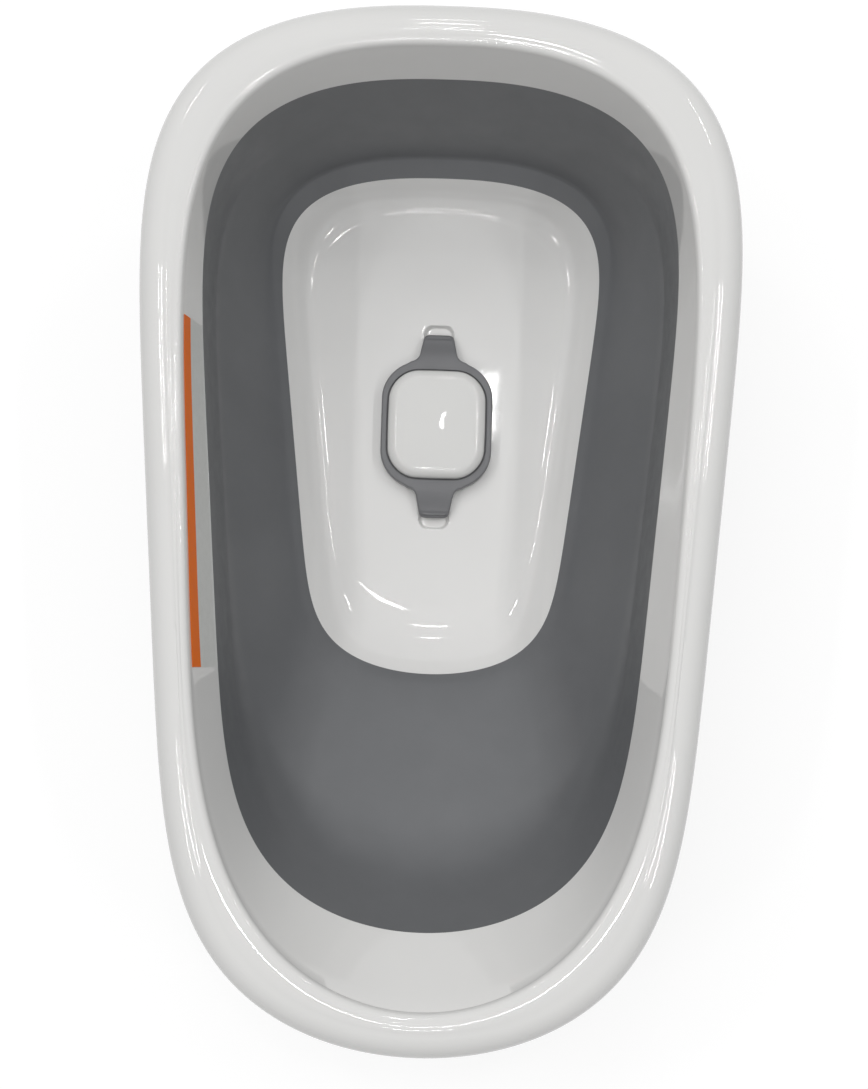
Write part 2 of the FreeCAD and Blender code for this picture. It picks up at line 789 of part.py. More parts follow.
RING_END = f"{SEAL_LENGTH} / 2"
PAST_TAB = f"({TAB_REACH} + Sizes.cut_overrun)"
HOOK_START = f"({TAB_REACH} - Sizes.tab_hook)"
TAB_END_TOP = "(Sizes.seal_height - Sizes.tab_drop)"
HOOK_END_TOP = "(Sizes.seal_height - Sizes.tab_drop - Sizes.tab_hook)"
above_tabs = new_sketch(plug_seal, "above_tabs", "YZ_Plane")
below_tabs = new_sketch(plug_seal, "below_tabs", "YZ_Plane")
for sign in ("1", "-1"):
    polygon(above_tabs, [
        (f"{sign} * {RING_END}", "Sizes.seal_height"),
        (f"{sign} * {HOOK_START}", TAB_END_TOP),
        (f"{sign} * {PAST_TAB}", f"{HOOK_END_TOP} - Sizes.cut_overrun"),
        (f"{sign} * {PAST_TAB}", "Sizes.seal_height + Sizes.cut_overrun"),
        (f"{sign} * {RING_END}", "Sizes.seal_height + Sizes.cut_overrun"),
    ])
    polygon(below_tabs, [
        (f"{sign} * {RING_END}", "Sizes.seal_height - Sizes.tab_thickness"),
        (f"{sign} * ({HOOK_START} - Sizes.tab_thickness / 2)", f"{TAB_END_TOP} - Sizes.tab_thickness"),
        (f"{sign} * {PAST_TAB}", f"{HOOK_END_TOP} - Sizes.tab_thickness - Sizes.cut_overrun"),
        (f"{sign} * {PAST_TAB}", "-Sizes.cut_overrun"),
        (f"{sign} * {RING_END}", "-Sizes.cut_overrun"),
    ])
side_pocket(plug_seal, above_tabs, SEAL_WIDTH)
side_pocket(plug_seal, below_tabs, SEAL_WIDTH)

rounded_pocket(
    plug_seal, "seal_underside", f"{SEAL_WIDTH} - 2 * Sizes.seal_skirt",
    f"{SEAL_LENGTH} - 2 * Sizes.seal_skirt", f"({SEAL_CORNER} - Sizes.seal_skirt)",
    MEMBRANE_UNDERSIDE, "0",
)
rounded_pocket(
    plug_seal, "seal_seat", f"{CAP_WIDTH} + 2 * Sizes.cap_gap", f"{CAP_LENGTH} + 2 * Sizes.cap_gap",
    f"({CAP_CORNER} + Sizes.cap_gap)", "Sizes.seal_height", SEAT_HEIGHT,
)
seal_hole_sketch = new_sketch(plug_seal, "seal_screw_holes")
circles(seal_hole_sketch, SCREW_PLACES, "Sizes.screw_radius + Sizes.screw_clearance")
pocket(plug_seal, seal_hole_sketch, "Sizes.seal_height + Sizes.cut_overrun")

plug_cap = new_body("plug_cap")
rounded_block(
    plug_cap, "cap_block", CAP_WIDTH, CAP_LENGTH, CAP_CORNER, "Sizes.cap_height", SEAT_HEIGHT,
)
cap_top = value(f"{SEAT_HEIGHT} + Sizes.cap_height")
round_edges(
    plug_cap, "cap_edge", "Sizes.cap_edge_round",
    lambda edge: edge.BoundBox.ZMin > cap_top - TOUCH,
)
rounded_pocket(
    plug_cap, "cap_hollow", f"{CAP_WIDTH} - 2 * Sizes.cap_edge_round",
    f"{CAP_LENGTH} - 2 * Sizes.cap_edge_round", f"({CAP_CORNER} - Sizes.cap_edge_round)",
    "Sizes.cap_height - Sizes.cap_wall", SEAT_HEIGHT,
)
cap_boss_sketch = new_sketch(plug_cap, "cap_bosses", height=SEAT_HEIGHT)
circles(cap_boss_sketch, SCREW_PLACES, "Sizes.screw_radius + Sizes.screw_boss_wall")
pad(plug_cap, cap_boss_sketch, "Sizes.cap_height - Sizes.cap_wall / 2")
cap_hole_sketch = new_sketch(plug_cap, "cap_screw_holes", height=SEAT_HEIGHT)
circles(cap_hole_sketch, SCREW_PLACES, "Sizes.screw_radius + Sizes.screw_gap")
pocket(plug_cap, cap_hole_sketch, "Sizes.screw_bite + Sizes.screw_gap")

plug_core = new_body("plug_core")
core_low = f"{MEMBRANE_UNDERSIDE} - Sizes.core_depth"
rounded_block(
    plug_core, "core_block", CORE_WIDTH, CORE_LENGTH, CORE_CORNER, "Sizes.core_depth", core_low,
)
rounded_pocket(
    plug_core, "core_hollow", f"{CORE_WIDTH} - 2 * Sizes.core_wall",
    f"{CORE_LENGTH} - 2 * Sizes.core_wall", f"({CORE_CORNER} - Sizes.core_wall)",
    "Sizes.core_depth - Sizes.core_plate", core_low,
)
core_hole_sketch = new_sketch(plug_core, "core_screw_holes", height=core_low)
circles(core_hole_sketch, SCREW_PLACES, "Sizes.screw_radius + Sizes.screw_clearance")
pocket(plug_core, core_hole_sketch, "Sizes.core_depth + Sizes.cut_overrun")

screws = []
for number, (across, along) in enumerate(SCREW_PLACES, 1):
    screw = new_body(f"screw_{number}")
    head_low = f"({MEMBRANE_UNDERSIDE} - Sizes.core_plate - Sizes.screw_head)"
    shank_top = f"({SEAT_HEIGHT} + Sizes.screw_bite)"
    profile = new_sketch(screw, f"screw_profile_{number}", "XZ_Plane")
    polygon(profile, [
        ("0", head_low),
        ("Sizes.screw_head_radius", head_low),
        ("Sizes.screw_head_radius", f"{head_low} + Sizes.screw_head"),
        ("Sizes.screw_radius", f"{head_low} + Sizes.screw_head"),
        ("Sizes.screw_radius", shank_top),
        ("0", shank_top),
    ])
    turn = screw.newObject("PartDesign::Revolution", f"screw_turn_{number}")
    turn.Profile = profile
    turn.ReferenceAxis = (profile, ["V_Axis"])
    turn.Angle = 360
    place(screw, across, f"{PLUG_Y} + {along}", "Sizes.floor_height")
    screws.append(screw)
plug_screws = doc.addObject("Part::Compound", "plug_screws")
plug_screws.Links = screws
plug_screws.Label = "plug_screws"

for body in (plug_seal, plug_cap, plug_core):
    place(body, along=PLUG_Y, up="Sizes.floor_height")

# ---------------------------------------------------------------------------------------------
# Blank adhesive strip on the left inner face of the rim's band
# ---------------------------------------------------------------------------------------------

strip_low = seam_height + size("strip_margin")
strip_high = bead_edge_height - size("strip_margin")
strip_heights = [strip_low, (strip_low + strip_high) / 2, strip_high]
strip_back_rows = [(height, grown(band_outline(height), -size("strip_gap"))) for height in strip_heights]
strip_front_rows = [(height, grown(points, -size("strip_thickness"))) for height, points in strip_back_rows]
strip_ring = moulding("strip_ring", [strip_front_rows, strip_back_rows[::-1]])
strip_window = doc.addObject("Part::Box", "strip_window")
strip_window.setExpression("Length", "Sizes.overall_width / 2")
strip_window.setExpression("Width", "Sizes.strip_foot_end - Sizes.strip_head_end")
strip_window.setExpression("Height", "Sizes.overall_height")
strip_window.setExpression("Placement.Base.x", "-Sizes.overall_width / 2")
strip_window.setExpression("Placement.Base.y", "Sizes.strip_head_end")
label_strip = common("label_strip", [strip_ring, strip_window])

# ---------------------------------------------------------------------------------------------
# Check and write
# ---------------------------------------------------------------------------------------------

doc.recompute()
PIECES = [rim, wall_upper, wall_lower, base_pan, plug_cap, plug_seal, plug_core, plug_screws, label_strip]
PIECES += foot_pads

for item in doc.Objects:
    if "Invalid" in item.State or "Error" in item.State:
        raise RuntimeError(f"{item.Name} did not build: {item.State}")

os.makedirs("parts", exist_ok=True)
for piece in PIECES:
    shape = piece.Shape
    if shape.isNull() or not shape.isValid() or not shape.Solids:
        raise RuntimeError(f"{piece.Label} has no valid solid")
    box = shape.BoundBox
    print(
        f"{piece.Label}: {len(shape.Solids)} solid, {shape.Volume / 1000:.1f} cm3, "
        f"x {box.XMin:.1f} to {box.XMax:.1f}, y {box.YMin:.1f} to {box.YMax:.1f}, "
        f"z {box.ZMin:.1f} to {box.ZMax:.1f}"
    )
    shape.exportStep(f"parts/{piece.Label}.step")
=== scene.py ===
import math

import bmesh
import bpy
import numpy as np
from mathutils import Matrix, Vector


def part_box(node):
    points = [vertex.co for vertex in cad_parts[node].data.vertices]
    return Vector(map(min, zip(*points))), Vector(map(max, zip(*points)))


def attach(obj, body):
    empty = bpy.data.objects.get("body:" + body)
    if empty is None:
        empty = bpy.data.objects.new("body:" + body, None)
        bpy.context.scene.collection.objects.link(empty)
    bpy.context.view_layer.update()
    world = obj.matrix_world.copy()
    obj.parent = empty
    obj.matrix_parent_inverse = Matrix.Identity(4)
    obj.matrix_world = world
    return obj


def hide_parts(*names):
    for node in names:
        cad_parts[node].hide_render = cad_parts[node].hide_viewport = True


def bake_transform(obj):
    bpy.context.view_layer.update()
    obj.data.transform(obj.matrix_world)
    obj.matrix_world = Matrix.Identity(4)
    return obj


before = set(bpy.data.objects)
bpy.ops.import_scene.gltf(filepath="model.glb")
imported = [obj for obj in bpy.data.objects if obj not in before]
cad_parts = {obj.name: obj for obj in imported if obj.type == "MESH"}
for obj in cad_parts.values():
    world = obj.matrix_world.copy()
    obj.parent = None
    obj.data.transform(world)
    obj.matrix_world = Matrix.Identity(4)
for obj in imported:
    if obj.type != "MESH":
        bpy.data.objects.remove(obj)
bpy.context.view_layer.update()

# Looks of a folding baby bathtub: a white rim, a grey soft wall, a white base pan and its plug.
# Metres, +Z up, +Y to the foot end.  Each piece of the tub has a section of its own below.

MM = 0.001

# ---------------------------------------------------------------------------------------------
# Outlines
# ---------------------------------------------------------------------------------------------

RIM_LOW, RIM_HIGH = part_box("rim")
HALF_WIDTH = min(-RIM_LOW.x, RIM_HIGH.x)
HALF_LENGTH = min(-RIM_LOW.y, RIM_HIGH.y)
TOP = RIM_HIGH.z
SEAM_HEIGHT = RIM_LOW.z
AROUND = 384  # points round an outline
FORMULA_STEPS = 4000

# Insets from the rim's outline are in millimetres: side, foot end and head end.  Then come the
# taper towards the head end and how square the outline is at its foot and head ends.
OUTLINES = {
    "rim": (0, 0, 0, 0.30, 5.0, 5.8),
    "bead": (38, 37.5, 37.5, 0.25, 4.6, 4.2),
    "seam": (44, 44.5, 87, 0.32, 5.2, 6.0),
    "ridge": (46, 58, 128, 0.34, 4.8, 5.0),
    "pan": (94, 84, 288, 0.42, 5.8, 8.4),
    "floor": (124, 112, 352, 0.42, 5.0, 6.0),
}
FOOT_ROUNDNESS = 2.5
HEAD_ROUNDNESS = 2.0


def evenly(points, count):
    """Points at equal distances along an open line, both ends among them."""
    steps = np.linalg.norm(np.diff(points, axis=0), axis=1)
    walked = np.concatenate([[0], np.cumsum(steps)])
    wanted = np.linspace(0, walked[-1], count)
    return np.stack([np.interp(wanted, walked, points[:, axis]) for axis in range(2)], axis=1)


def mirrored(right):
    """A closed outline from its right half, which runs from the +Y end to the -Y end."""
    left = right[-2:0:-1] * (-1, 1)
    return np.concatenate([right, left])


def outline(level):
    """The closed outline of one level of the tub, from the foot end over the right side."""
    side, foot_inset, head_inset, taper, foot_square, head_square = OUTLINES[level]
    foot = HALF_LENGTH - foot_inset * MM
    head = HALF_LENGTH - head_inset * MM
    along = np.cos(np.linspace(0, math.pi, FORMULA_STEPS + 1))
    at_foot = along >= 0
    square = np.where(at_foot, foot_square, head_square)
    roundness = np.where(at_foot, FOOT_ROUNDNESS, HEAD_ROUNDNESS)
    fullness = np.clip(1 - np.abs(along) ** square, 0, None)
    across = fullness ** (1 / roundness) * (1 + taper * along / 2)
    across *= (HALF_WIDTH - side * MM) / across.max()
    y = (foot - head) / 2 + (foot + head) / 2 * along
    return mirrored(evenly(np.stack([across, y], axis=1), AROUND // 2 + 1))


def between(first, second, share):
    """The outline that lies a share, or one share for each point, from the first to the second."""
    return first + (second - first) * np.reshape(share, (-1, 1))


def grown(points, distance):
    """An outline moved outwards by a distance, or by one distance for each point."""
    along = np.roll(points, -1, axis=0) - np.roll(points, 1, axis=0)
    along /= np.linalg.norm(along, axis=1)[:, None]
    normals = np.stack([-along[:, 1], along[:, 0]], axis=1)
    return points + normals * np.reshape(distance, (-1, 1))


def ring(points, height):
    """An outline lifted to a height, or to one height for each point."""
    heights = np.broadcast_to(height, (len(points),))
    return np.concatenate([points, heights[:, None]], axis=1)


def smooth(share):
    """A share from 0 to 1 that starts and ends level."""
    share = np.clip(share, 0, 1)
    return share * share * (3 - 2 * share)


# ---------------------------------------------------------------------------------------------
# Meshes
# ---------------------------------------------------------------------------------------------

SHARP_ANGLE = math.radians(38)


def mesh_object(name, vertices, faces, material):
    """A smooth-shaded object whose faces point outwards and whose true corners stay sharp."""
    mesh = bpy.data.meshes.new(name)
    mesh.from_pydata([tuple(v) for v in vertices], [], faces)
    mesh.validate()
    turned = bmesh.new()
    turned.from_mesh(mesh)
    bmesh.ops.recalc_face_normals(turned, faces=turned.faces)
    turned.to_mesh(mesh)
    turned.free()
    mesh.polygons.foreach_set("use_smooth", [True] * len(mesh.polygons))
    mesh.set_sharp_from_angle(angle=SHARP_ANGLE)
    mesh.materials.append(material)
    piece = bpy.data.objects.new(name, mesh)
    bpy.context.scene.collection.objects.link(piece)
    return piece


def ring_faces(rows, count):
    """Quads between successive rings of a stack."""
    faces = []
    for row in range(rows - 1):
        low = row * count
        for point in range(count):
            after = (point + 1) % count
            faces.append((low + point, low + count + point, low + count + after, low + after))
    return faces


def stacked(name, rings, material, closed=False):
    """A solid from a stack of rings: closed on itself like a tyre, or with a face at both ends."""
    count = len(rings[0])
    rings = list(rings)
    if closed:
        faces = ring_faces(len(rings) + 1, count)
        total = len(rings) * count
        faces = [tuple(number % total for number in face) for face in faces]
    else:
        faces = ring_faces(len(rings), count)
        last = (len(rings) - 1) * count
        faces.append(tuple(range(count)))
        faces.append(tuple(range(last + count - 1, last - 1, -1)))
    return mesh_object(name, np.concatenate(rings), faces, material)


def quarter(steps):
    """Sines and cosines of a quarter turn, both ends among them."""
    angles = np.linspace(0, math.pi / 2, steps + 1)
    return [(math.sin(angle), math.cos(angle)) for angle in angles]


# ---------------------------------------------------------------------------------------------
# Materials
# ---------------------------------------------------------------------------------------------

NOISE_LOW = 0.3  # most of a noise's values lie between these two
NOISE_HIGH = 0.7


class Nodes:
    """A material's node tree, with short calls for what every material here uses."""

    def __init__(self, name, **settings):
        self.material = bpy.data.materials.new(name)
        self.material.use_nodes = True
        self.tree = self.material.node_tree
        self.shader = self.tree.nodes["Principled BSDF"]
        self.place = self.tree.nodes.new("ShaderNodeTexCoord").outputs["Object"]
        for socket, value in settings.items():
            self.shader.inputs[socket.replace("_", " ")].default_value = value

    def noise(self, scale, detail=3, roughness=0.5, stretch=None):
        """Noise in the object's own space, with features about 1 / scale metres apart."""
        node = self.tree.nodes.new("ShaderNodeTexNoise")
        node.inputs["Scale"].default_value = scale
        node.inputs["Detail"].default_value = detail
        node.inputs["Roughness"].default_value = roughness
        source = self.place
        if stretch:
            mapping = self.tree.nodes.new("ShaderNodeMapping")
            mapping.inputs["Scale"].default_value = stretch
            self.tree.links.new(source, mapping.inputs["Vector"])
            source = mapping.outputs["Vector"]
        self.tree.links.new(source, node.inputs["Vector"])
        return node.outputs["Fac"]

    def spread(self, source, low, high):
        """A number that runs from low to high with the noise."""
        node = self.tree.nodes.new("ShaderNodeMapRange")
        self.tree.links.new(source, node.inputs["Value"])
        node.inputs["From Min"].default_value = NOISE_LOW
        node.inputs["From Max"].default_value = NOISE_HIGH
        node.inputs["To Min"].default_value = low
        node.inputs["To Max"].default_value = high
        return node.outputs["Result"]

    def colours(self, source, first, second):
        """A colour between two, chosen by the noise."""
        node = self.tree.nodes.new("ShaderNodeValToRGB")
        node.color_ramp.elements[0].position = NOISE_LOW
        node.color_ramp.elements[1].position = NOISE_HIGH
        node.color_ramp.elements[0].color = (*first, 1)
        node.color_ramp.elements[1].color = (*second, 1)
        self.tree.links.new(source, node.inputs["Fac"])
        return node.outputs["Color"]

    def link(self, source, socket):
        self.tree.links.new(source, self.shader.inputs[socket])

    def bump(self, *layers):
        """Bumps from pairs of (source, height in metres), one on another."""
        normal = None
        for source, height in layers:
            node = self.tree.nodes.new("ShaderNodeBump")
            node.inputs["Strength"].default_value = 1
            node.inputs["Distance"].default_value = height
            self.tree.links.new(source, node.inputs["Height"])
            if normal:
                self.tree.links.new(normal, node.inputs["Normal"])
            normal = node.outputs["Normal"]
        self.link(normal, "Normal")


def gloss_plastic(name, light, dark, roughness):
    """Injection-moulded gloss plastic: faint mould waves, hairline wipe marks and a little tint."""
    nodes = Nodes(name, Specular_IOR_Level=0.5)
    patches = nodes.noise(9, detail=4, roughness=0.6)
    nodes.link(nodes.colours(patches, dark, light), "Base Color")
    wiped = nodes.noise(60, detail=5, roughness=0.7, stretch=(1, 0.12, 1))
    nodes.link(nodes.spread(wiped, roughness * 0.85, roughness * 1.3), "Roughness")
    waves = nodes.noise(26, detail=1)
    grain = nodes.noise(900, detail=2)
    nodes.bump((waves, 0.12 * MM), (grain, 0.004 * MM))
    return nodes.material


def soft_rubber(name, light, dark, roughness, grain_height=0.02 * MM):
    """Soft thermoplastic rubber: satin, with a fine spark-eroded grain and cloudy tone."""
    nodes = Nodes(name, Specular_IOR_Level=0.5)
    clouds = nodes.noise(14, detail=6, roughness=0.65)
    nodes.link(nodes.colours(clouds, dark, light), "Base Color")
    patches = nodes.noise(45, detail=4, roughness=0.6)
    nodes.link(nodes.spread(patches, roughness - 0.06, roughness + 0.06), "Roughness")
    grain = nodes.noise(1500, detail=2)
    flow = nodes.noise(30, detail=2)
    nodes.bump((flow, 0.15 * MM), (grain, grain_height))
    return nodes.material


def plated_steel(name, light, dark, roughness):
    """Plated screw steel, turned, so its fine marks run round and its tone varies."""
    nodes = Nodes(name, Metallic=1.0)
    marks = nodes.noise(700, detail=4, stretch=(1, 1, 6))
    nodes.link(nodes.colours(marks, dark, light), "Base Color")
    nodes.link(nodes.spread(marks, roughness - 0.1, roughness + 0.1), "Roughness")
    nodes.bump((marks, 0.008 * MM))
    return nodes.material


def printed_film(name, light, dark, roughness=0.56):
    """Adhesive film: satin, slightly cockled, with a little ink mottle."""
    nodes = Nodes(name, Specular_IOR_Level=0.2)
    mottle = nodes.noise(160, detail=5, roughness=0.7)
    nodes.link(nodes.colours(mottle, dark, light), "Base Color")
    nodes.link(nodes.spread(mottle, roughness - 0.06, roughness + 0.06), "Roughness")
    cockles = nodes.noise(55, detail=2)
    nodes.bump((cockles, 0.08 * MM))
    return nodes.material


WHITE = gloss_plastic("rigid_white", (0.84, 0.837, 0.824), (0.82, 0.817, 0.804), 0.035)
# The base pan is the same white plastic as the rim, painted lighter: painted light that brightens the
# basin floor.
BASE_WHITE_PAINTED_LIGHTER = gloss_plastic("base_white_painted_lighter", (0.88, 0.877, 0.865), (0.86, 0.857, 0.845), 0.035)
CAP_WHITE = gloss_plastic("cap_white", (0.82, 0.82, 0.805), (0.80, 0.80, 0.785), 0.03)
GREY = soft_rubber("soft_grey", (0.160, 0.165, 0.173), (0.146, 0.151, 0.158), 0.36)
PLUG_GREY = soft_rubber("plug_grey", (0.176, 0.178, 0.186), (0.159, 0.161, 0.168), 0.38)
PAD_GREY = soft_rubber("pad_grey", (0.062, 0.064, 0.068), (0.05, 0.052, 0.056), 0.6, 0.05 * MM)
STEEL = plated_steel("screw_steel", (0.66, 0.66, 0.67), (0.45, 0.45, 0.46), 0.32)
ORANGE = printed_film("film_orange", (0.96, 0.20, 0.012), (0.90, 0.17, 0.010))
PALE = printed_film("film_pale", (0.74, 0.75, 0.73), (0.68, 0.69, 0.67))

# ---------------------------------------------------------------------------------------------
# Rim: a rolled bead, open below, with a band that slopes down to the soft wall
# ---------------------------------------------------------------------------------------------

RIGID = 3 * MM
BEAD_OUTER_ROUND = 22 * MM
BEAD_INNER_ROUND = 6 * MM
SKIRT_DEPTH = 44 * MM
SKIRT_HEIGHT = TOP - SKIRT_DEPTH
CROWN = 0.9 * MM
EDGE_ROUND = 0.8 * MM
BAND_WALL = 1.3 * RIGID  # measured level, and so more than RIGID where the band slopes
ROUND_STEPS = 14
CROWN_STEPS = 8
BAND_STEPS = 10
SKIRT_ROWS = 4

rim_outline = outline("rim")
bead_outline = outline("bead")
seam_outline = outline("seam")
ridge_outline = outline("ridge")
pan_outline = outline("pan")
floor_outline = outline("floor")
BEAD_EDGE_HEIGHT = TOP - BEAD_INNER_ROUND


def band(height):
    """The inner face of the band at a height between the soft wall and the bead."""
    return between(seam_outline, bead_outline, (height - SEAM_HEIGHT) / (BEAD_EDGE_HEIGHT - SEAM_HEIGHT))


def bead_skin(shift, radius):
    """The bead's outer skin, moved inwards by shift, from its lower edge to the end of its roll."""
    edge = grown(rim_outline, -shift)
    roll_height = TOP - BEAD_OUTER_ROUND - CROWN
    heights = np.linspace(SKIRT_HEIGHT + EDGE_ROUND, roll_height, SKIRT_ROWS)
    rows = [ring(edge, height) for height in heights]
    for sine, cosine in quarter(ROUND_STEPS)[1:]:
        rows.append(ring(grown(edge, -radius * (1 - cosine)), roll_height + radius * sine))
    return rows


def build_rim():
    outside = bead_skin(0, BEAD_OUTER_ROUND)
    roll_end = grown(rim_outline, -BEAD_OUTER_ROUND)
    inner_end = grown(bead_outline, BEAD_INNER_ROUND)
    crown = []
    for share in np.linspace(0, 1, CROWN_STEPS + 1)[1:-1]:
        drop = CROWN * (2 * share - 1) ** 2
        crown.append(ring(between(roll_end, inner_end, share), TOP - drop))
    inner = []
    for sine, cosine in reversed(quarter(ROUND_STEPS)):
        outwards = grown(bead_outline, BEAD_INNER_ROUND * (1 - cosine))
        inner.append(ring(outwards, BEAD_EDGE_HEIGHT - CROWN + BEAD_INNER_ROUND * sine))
    heights = np.linspace(BEAD_EDGE_HEIGHT - CROWN, SEAM_HEIGHT, BAND_STEPS + 1)[1:]
    band_front = [ring(band(height), height) for height in heights]
    band_back = [ring(grown(band(height), BAND_WALL), height) for height in heights[::-1]]
    band_back.append(ring(grown(bead_outline, RIGID), TOP - RIGID - CROWN))
    inside = bead_skin(RIGID, BEAD_OUTER_ROUND - RIGID)[::-1]
    lip = [
        ring(grown(rim_outline, EDGE_ROUND - RIGID), SKIRT_HEIGHT),
        ring(grown(rim_outline, -EDGE_ROUND), SKIRT_HEIGHT),
    ]
    rings = outside + crown + inner + band_front + band_back + inside + lip
    rim = stacked("tub_rim", rings, WHITE, closed=True)
    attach(rim, "rim")
    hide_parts("rim")


build_rim()

# ---------------------------------------------------------------------------------------------
# Soft wall: one skin from the rim's band over the fold ridge to the base pan
# ---------------------------------------------------------------------------------------------

SOFT = 3 * MM
PAN_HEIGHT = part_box("base_pan")[1].z
RIDGE_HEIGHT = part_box("wall_lower")[1].z
CREASE_RUN = 16 * MM
CREASE_RISE = 11 * MM
COLLAR_LAP = 11 * MM
COLLAR_WALL = 2.5 * MM
LAP_GAP = 0.15 * MM
CURVE_STEPS = 10
STRAIGHT_STEPS = 4
CREASE_SOFT_Y = 0.2  # the crease is soft up to here, and sharp CREASE_BLEND further on
CREASE_BLEND = 0.11

# The share of the stretches before and after a fold that its curve takes up: for the crease
# elsewhere and at the foot end, and for the ridge at the foot end and at the head end.
CREASE_BEFORE = (0.6, 0.15)
CREASE_AFTER = (0.45, 0.05)
RIDGE_BEFORE = (0.12, 0.28)
RIDGE_AFTER = (0.1, 0.65)


def rounded_rows(stations):
    """Rows of (height, outline) along stations, with a curve at each station between the ends.

    A station is (height, outline, share, next share): the shares of the stretches before and
    after it that its curve takes up.
    """
    rows = []
    for number, (height, points, before, after) in enumerate(stations[:-1]):
        next_height, next_points, next_before, _ = stations[number + 1]
        if number:
            last_height, last_points = stations[number - 1][:2]
            start = height + (last_height - height) * before, between(points, last_points, before)
            end = height + (next_height - height) * after, between(points, next_points, after)
            for share in np.linspace(0, 1, CURVE_STEPS + 1)[1:-1]:
                first = start[0] + (height - start[0]) * share, between(start[1], points, share)
                second = height + (end[0] - height) * share, between(points, end[1], share)
                level = first[0] + (second[0] - first[0]) * share
                rows.append((level, between(first[1], second[1], share)))
        for share in np.linspace(after, 1 - next_before, STRAIGHT_STEPS + 1):
            level = height + (next_height - height) * share
            rows.append((level, between(points, next_points, share)))
    return rows


def soft_rows():
    """Rows of the soft wall's inner face, from the pan to the seam.

    The crease beside the pan is sharp at the foot end and soft elsewhere, and the ridge is softer
    at the head end.
    """
    foot = smooth((pan_outline[:, 1] - CREASE_SOFT_Y) / CREASE_BLEND)
    head = smooth(-ridge_outline[:, 1] / HALF_LENGTH)
    crease_outline = grown(pan_outline, CREASE_RUN)
    crease_shares = [np.interp(foot, (0, 1), ends) for ends in (CREASE_BEFORE, CREASE_AFTER)]
    ridge_shares = [np.interp(head, (0, 1), ends) for ends in (RIDGE_BEFORE, RIDGE_AFTER)]
    return rounded_rows([
        (PAN_HEIGHT, pan_outline, 0, 0),
        (PAN_HEIGHT + CREASE_RISE, crease_outline, *crease_shares),
        (RIDGE_HEIGHT, ridge_outline, *ridge_shares),
        (SEAM_HEIGHT, seam_outline, 0, 0),
    ])


def thickened(rows, wall):
    """Rows of (height, outline) moved outwards so that the sloping wall keeps its thickness."""
    result = []
    for number, (height, points) in enumerate(rows):
        low, low_points = rows[max(number - 1, 0)]
        high, high_points = rows[min(number + 1, len(rows) - 1)]
        slope = np.linalg.norm(high_points - low_points, axis=1) / (high - low)
        result.append((height, grown(points, wall * np.hypot(1, slope))))
    return result


def build_soft_wall():
    front = soft_rows()
    back = [row for row in thickened(front, SOFT) if np.min(row[0]) > PAN_HEIGHT + EDGE_ROUND]
    back = [row for row in back if np.max(row[0]) < SEAM_HEIGHT - COLLAR_LAP]
    lap_rows = [(height, band(height)) for height in (SEAM_HEIGHT, SEAM_HEIGHT + COLLAR_LAP)]
    lap_inner = [(height, grown(points, LAP_GAP)) for height, points in thickened(lap_rows, RIGID)]
    lap_outer = [(height, grown(points, COLLAR_WALL)) for height, points in lap_inner]
    lap_foot = (SEAM_HEIGHT - COLLAR_LAP, grown(back[-1][1], LAP_GAP + COLLAR_WALL))
    collar_inner = grown(pan_outline, RIGID + LAP_GAP)
    collar_outer = grown(collar_inner, COLLAR_WALL)
    collar = [
        (PAN_HEIGHT, collar_outer),
        (PAN_HEIGHT - COLLAR_LAP, collar_outer),
        (PAN_HEIGHT - COLLAR_LAP, collar_inner),
        (PAN_HEIGHT, collar_inner),
    ]
    rows = front + lap_inner + lap_outer[::-1] + [lap_foot] + back[::-1] + collar
    wall = stacked("soft_wall", [ring(points, height) for height, points in rows], GREY, closed=True)
    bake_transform(wall)
    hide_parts("wall_lower", "wall_upper")


build_soft_wall()

# ---------------------------------------------------------------------------------------------
# Base pan: dished floor with finger recesses and a drain opening with a lip, on a plinth skirt.
# Under the floor are its ribs and the pads' bosses.
# ---------------------------------------------------------------------------------------------

SEAL_LOW, SEAL_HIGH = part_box("plug_seal")
PLUG_Y = (SEAL_LOW.y + SEAL_HIGH.y) / 2
PLUG_BULGE = 0.03
SEAL_FLOOR_GAP = 0.4 * MM
FLOOR_HEIGHT = SEAL_LOW.z - SEAL_FLOOR_GAP
PLINTH_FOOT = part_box("base_pan")[0].z
PLINTH_DRAFT = 2 * MM
DRAIN = (77 * MM, 89 * MM, 17 * MM)
DRAIN_WALL = 2.5 * MM
DRAIN_SPOUT = 9 * MM
DRAIN_LIP = 8 * MM
RECESS_WIDTH = 28 * MM
RECESS_START = 71 * MM
RECESS_END = 94 * MM
RECESS_CORNER = 9 * MM
RECESS_DEPTH = 5.5 * MM
RECESS_WALL = 2.2 * MM
RIB_WALL = 2.5 * MM
RIB_DEPTH = 8 * MM
RIB_SIDE_PLACE = 55 * MM
PAD_GAP = 0.2 * MM
PAD_SEAT = 4 * MM
BOSS_WALL = 3 * MM
CIRCLE_POINTS = 96
CORNER_POINTS = 40
FINE_MARGIN = (100 * MM, 110 * MM, 50 * MM)  # how far the finely ringed floor passes the drain
FINE_RINGS = 64
COARSE_RINGS = 12
DISH_STEPS = 24
DISH_UNDER_SHARE = 0.85  # how far out the dish is seen from below, inside the skirt


def rounded(wide, long, corner, bulge=0):
    """A rectangle with rounded corners about the plug's middle, from its +Y side over its right.

    A bulge pulls the corners in by that share, so that the sides curve out between them.
    """
    arc = [(math.sin(a), math.cos(a)) for a in np.linspace(0, math.pi / 2, CORNER_POINTS)]
    middle_x = wide / 2 - corner
    middle_y = long / 2 - corner
    right = [(0, long / 2)]
    right += [(middle_x + corner * x, middle_y + corner * y) for x, y in arc]
    right += [(middle_x + corner * y, -middle_y - corner * x) for x, y in arc]
    right.append((0, -long / 2))
    points = mirrored(evenly(np.array(right), AROUND // 2 + 1))
    pulled = 1 - bulge * (points / (wide / 2, long / 2))[:, ::-1] ** 2
    return points * pulled + (0, PLUG_Y)


